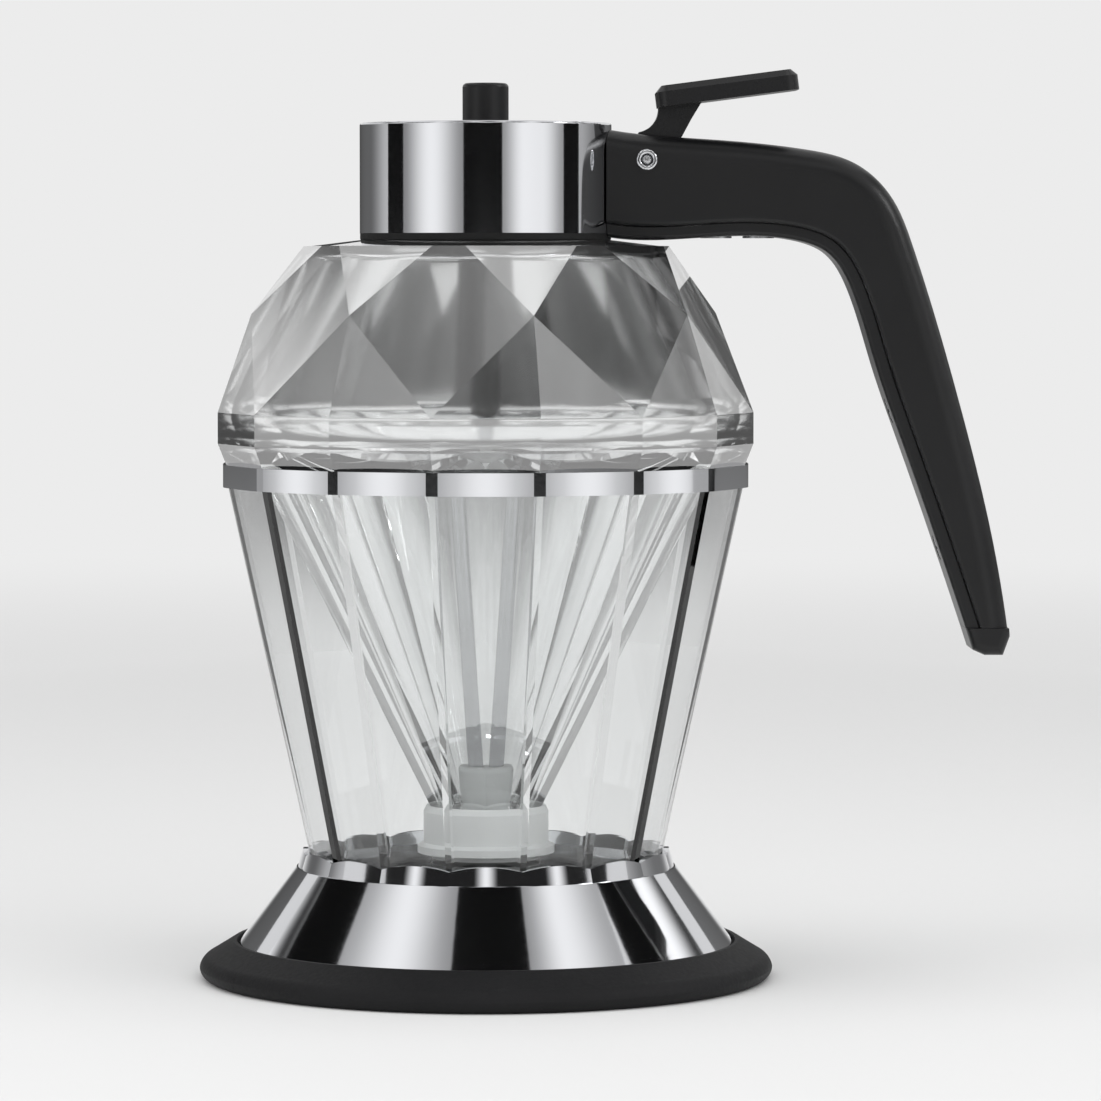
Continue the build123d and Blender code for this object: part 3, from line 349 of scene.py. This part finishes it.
# stage: a painted floor that turns into the backdrop's shade with distance
stageLook = {
    "floor": "D2D2D2",
    "floorSize": 12.0,
    "speckScale": 40.0,  # roller marks about 25 mm wide
    "roughLow": 0.75,
    "roughHigh": 0.85,
    "fadeFrom": 0.3,  # metres from the axis
    "fadeTo": 1.3,
    "backdrop": "ECECEC",
    "ambient": 0.5,
}

floorMaterial, tree = startMaterial("painted studio floor")
speck = addNode(
    tree,
    "ShaderNodeTexNoise",
    {"Scale": stageLook["speckScale"], "Detail": 2.0},
    {"Vector": objectSpace(tree)},
)
rough = addNode(
    tree,
    "ShaderNodeMapRange",
    {"To Min": stageLook["roughLow"], "To Max": stageLook["roughHigh"]},
    {"Value": speck.outputs["Fac"]},
)
paint = addNode(
    tree,
    "ShaderNodeBsdfPrincipled",
    {"Base Color": linear(stageLook["floor"])},
    {"Roughness": rough.outputs["Result"]},
)
far = addNode(tree, "ShaderNodeEmission", {"Color": linear(stageLook["backdrop"]), "Strength": 1.0})
reach = addNode(tree, "ShaderNodeVectorMath", {"operation": "LENGTH"}, {"Vector": objectSpace(tree)})
fade = addNode(
    tree,
    "ShaderNodeMapRange",
    {"interpolation_type": "SMOOTHSTEP", "From Min": stageLook["fadeFrom"], "From Max": stageLook["fadeTo"]},
    {"Value": reach.outputs["Value"]},
)
blended = addNode(
    tree,
    "ShaderNodeMixShader",
    {},
    {"Fac": fade.outputs["Result"], 1: paint.outputs[0], 2: far.outputs[0]},
)
finishMaterial(floorMaterial, tree, blended)
floor = makeSheet("floor", stageLook["floorSize"], stageLook["floorSize"], floorMaterial)
bpy.context.collection.objects.link(floor)


# cards that only metal and glass show: they give the chrome its bands and the dome its greys
def faceObject(thing, azimuth, distance, height, aimHeight):
    # azimuth 0 is in front of the object and 90 on the handle's side
    a = math.radians(azimuth)
    thing.location = (math.sin(a) * distance, -math.cos(a) * distance, height)
    aim = Vector((0, 0, aimHeight)) - thing.location
    thing.rotation_euler = aim.to_track_quat("-Z", "Y").to_euler()
    bpy.context.collection.objects.link(thing)


def makeRamp(tree, source, low, high, stops):
    # stops are (place from 0 to 1, how bright, and how much it covers)
    place = addNode(tree, "ShaderNodeMapRange", {"From Min": low, "From Max": high}, {"Value": source})
    ramp = addNode(tree, "ShaderNodeValToRGB", {}, {"Fac": place.outputs["Result"]})
    ramp.color_ramp.interpolation = "EASE"
    elements = ramp.color_ramp.elements
    while len(elements) < len(stops):
        elements.new(0.5)
    for element, (where, shade, *cover) in zip(elements, stops):
        element.position = where
        element.color = (shade, shade, shade, cover[0] if cover else 1)
    return ramp


def makeCard(name, width, height, shades, rise=None):
    # card graded across its width by shades, with a second grading up its height by rise
    material, tree = startMaterial(name)
    material.cycles.emission_sampling = "NONE"
    split = addNode(tree, "ShaderNodeSeparateXYZ", {}, {"Vector": objectSpace(tree)})
    across = makeRamp(tree, split.outputs["X"], -width / 2, width / 2, shades)
    glow = addNode(tree, "ShaderNodeEmission", {}, {"Color": across.outputs["Color"]})
    if rise:
        upward = makeRamp(tree, split.outputs["Y"], -height / 2, height / 2, rise)
        over = addNode(tree, "ShaderNodeEmission", {}, {"Color": upward.outputs["Color"]})
        glow = addNode(
            tree,
            "ShaderNodeMixShader",
            {},
            {"Fac": upward.outputs["Alpha"], 1: glow.outputs[0], 2: over.outputs[0]},
        )
    card = makeSheet(name, width, height, finishMaterial(material, tree, glow))
    card.visible_camera = False
    card.visible_diffuse = False
    card.visible_shadow = False
    return card


uprightSetup = {
    "distance": 1.25,  # from the axis
    "behindDistance": 0.6,
    "low": (0.0, 0.09),  # height of the foot and the top of each row of cards
    "collar": (0.1, 0.3),
    "high": (0.45, 0.95),
    "bend": (0.6, 1.0),
    "behind": (0.0, 0.2),
    "above": (0.2, 0.46),
    "rowTurn": 45,  # degrees from one low or high card to the next
    "rowHalf": 2,  # cards on each side of the middle one
}


def standCard(name, begin, end, row, shades, rise=None, distance=uprightSetup["distance"]):
    # upright card from one azimuth to another
    foot, top = uprightSetup[row]
    width = 2 * distance * math.tan(math.radians((end - begin) / 2))
    card = makeCard(name, width, top - foot, shades, rise)
    middle = (foot + top) / 2
    faceObject(card, (begin + end) / 2, distance, middle, middle)
    return card


blackCard = [(0.0, 0.006), (1.0, 0.006)]
# cards at the collar's height: name, azimuth where each begins and ends, its shades
collarCards = [
    ("card at the left", -80, -20, [(0.0, 0.3), (0.5, 1.15), (1.0, 0.35)]),
    ("black card in front", -20, 15, blackCard),
    ("card at the right", 15, 75, [(0.0, 0.4), (0.35, 1.15), (0.6, 1.1), (1.0, 0.4)]),
    ("black card at the right", 75, 94, blackCard),
    ("black card at the left", -100, -80, blackCard),
]
for name, begin, end, shades in collarCards:
    standCard(name, begin, end, "collar", shades)

# the cards behind take on the floor's shade at their foot and the backdrop's at their top
behindCards = [
    ("card behind right", 94, 180, [(0.0, 0.5), (0.4, 0.2), (1.0, 0.05)]),
    ("card behind left", -180, -100, [(0.0, 0.05), (0.6, 0.15), (1.0, 0.6)]),
]
behindRise = [(0.0, 0.7, 1), (0.39, 0.3, 0), (1.0, 0.2, 0)]
aboveRise = [(0.0, 0.2, 0), (0.5, 0.2, 0), (1.0, 0.3, 1)]
near = uprightSetup["behindDistance"]
for name, begin, end, shades in behindCards:
    standCard(name, begin, end, "behind", shades, behindRise, near)
    above = standCard(name + ", above", begin, end, "above", shades, aboveRise, near)
    above.visible_glossy = False  # the glass alone shows it

# rows of cards bright in the middle: the rim's sides and the ring's scallops show the low one
rowShades = {
    "low": [(0.2, 0.02), (0.5, 1.15), (0.8, 0.02)],
    "high": [(0.25, 0.02), (0.5, 1.15), (0.75, 0.02)],
}
for row, shades in rowShades.items():
    for k in range(-uprightSetup["rowHalf"], uprightSetup["rowHalf"] + 1):
        begin = uprightSetup["rowTurn"] * (k - 0.5)
        standCard("%s card %d" % (row, k), begin, begin + uprightSetup["rowTurn"], row, shades)

# the handle's outer bend shows this one as its soft highlight
standCard("bright card at the right", 68, 88, "bend", [(0.0, 0.1), (0.5, 12.0), (1.0, 0.1)])


def hangCard(name, begin, end, y, length, height, shades):
    # card that lies flat overhead, from one x to another
    card = makeCard(name, end - begin, length, shades)
    card.location = ((begin + end) / 2, y, height)
    bpy.context.collection.objects.link(card)


# cards overhead, which the skirt shows: name, x where each begins and ends, y, length, shades
overheadHeight = 1.6
overheadCards = [
    ("card overhead left", -1.51, -0.34, 0.35, 2.3, [(0.0, 0.5), (0.5, 1.15), (1.0, 0.4)]),
    ("black card overhead", -0.34, 0.43, -0.5, 0.6, blackCard),
    ("card overhead", -0.34, 0.43, 0.3, 1.0, [(0.0, 0.5), (0.8, 1.3), (1.0, 1.0)]),
    ("card overhead right", 0.43, 1.41, 0.35, 2.3, [(0.0, 0.4), (0.4, 1.15), (1.0, 0.5)]),
    ("black card overhead right", 1.41, 1.95, 1.3, 2.4, blackCard),
    ("black card overhead left", -2.2, -1.51, 1.6, 3.0, blackCard),
]
for name, begin, end, y, length, shades in overheadCards:
    hangCard(name, begin, end, y, length, overheadHeight, shades)

# strips above the cards, dark at both edges, which grade the dome's facets
stripLook = {
    "pitch": 0.8,
    "count": 10,
    "shift": 0.08,  # to the right of the axis
    "middle": -0.1,
    "length": 5.2,
    "height": 1.62,
    "shades": [(0.0, 0.05), (0.5, 1.4), (1.0, 0.05)],
}
for k in range(stripLook["count"]):
    begin = (k - stripLook["count"] / 2) * stripLook["pitch"] + stripLook["shift"]
    end = begin + stripLook["pitch"]
    hangCard(
        "strip %d" % k,
        begin,
        end,
        stripLook["middle"],
        stripLook["length"],
        stripLook["height"],
        stripLook["shades"],
    )


# softboxes light what is neither metal nor clear glass, which show the cards instead
def makeSoftbox(name, width, length, watts):
    light = bpy.data.lights.new(name, "AREA")
    light.shape = "RECTANGLE"
    light.size = width
    light.size_y = length
    light.energy = watts
    lamp = bpy.data.objects.new(name, light)
    lamp.visible_camera = False
    lamp.visible_glossy = False
    lamp.visible_transmission = False
    return lamp


softboxAim = 0.1  # height that they point at
# name, azimuth, distance, height, width, length, watts
softboxes = [
    ("softbox right", 44, 1.35, 0.75, 1.5, 1.5, 14),
    ("softbox left", -60, 1.35, 0.75, 1.2, 1.5, 12),
    ("softbox overhead", 0, 0.1, 1.6, 2.0, 1.3, 16),
    ("softbox front", -8, 1.3, 0.3, 1.0, 0.5, 2.5),
]
for name, azimuth, distance, height, width, length, watts in softboxes:
    faceObject(makeSoftbox(name, width, length, watts), azimuth, distance, height, softboxAim)

# world: an even light on the object, and the backdrop's shade for the camera, metal and glass
world = bpy.data.worlds.new("studio")
bpy.context.scene.world = world
world.use_nodes = True
tree = world.node_tree
tree.nodes.clear()
path = addNode(tree, "ShaderNodeLightPath")
direct = addNode(
    tree,
    "ShaderNodeMath",
    {"operation": "MAXIMUM"},
    {0: path.outputs["Is Camera Ray"], 1: path.outputs["Is Glossy Ray"]},
)
seen = addNode(
    tree,
    "ShaderNodeMath",
    {"operation": "MAXIMUM"},
    {0: direct.outputs[0], 1: path.outputs["Is Transmission Ray"]},
)
ambient = addNode(tree, "ShaderNodeBackground", {"Color": linear("FFFFFF"), "Strength": stageLook["ambient"]})
shown = addNode(tree, "ShaderNodeBackground", {"Color": linear(stageLook["backdrop"]), "Strength": 1.0})
mixed = addNode(
    tree,
    "ShaderNodeMixShader",
    {},
    {"Fac": seen.outputs[0], 1: ambient.outputs[0], 2: shown.outputs[0]},
)
addNode(tree, "ShaderNodeOutputWorld", {}, {"Surface": mixed.outputs[0]})
print("stage and lights made")

# camera: eye level with the collar's foot, 883 mm in front of the jar's axis
cameraSetup = {
    "eye": (0.0, -0.883, 0.1185),
    "target": (0.0107, 0.0, 0.0707),
    "lens": 174.7,
    "sensor": 36.0,
}
cameraData = bpy.data.cameras.new("camera")
cameraData.lens = cameraSetup["lens"]
cameraData.sensor_width = cameraSetup["sensor"]
camera = bpy.data.objects.new("camera", cameraData)
camera.location = cameraSetup["eye"]
camera.rotation_euler = (Vector(cameraSetup["target"]) - camera.location).to_track_quat("-Z", "Y").to_euler()
bpy.context.collection.objects.link(camera)
bpy.context.scene.camera = camera
bpy.context.scene.view_settings.view_transform = "Standard"
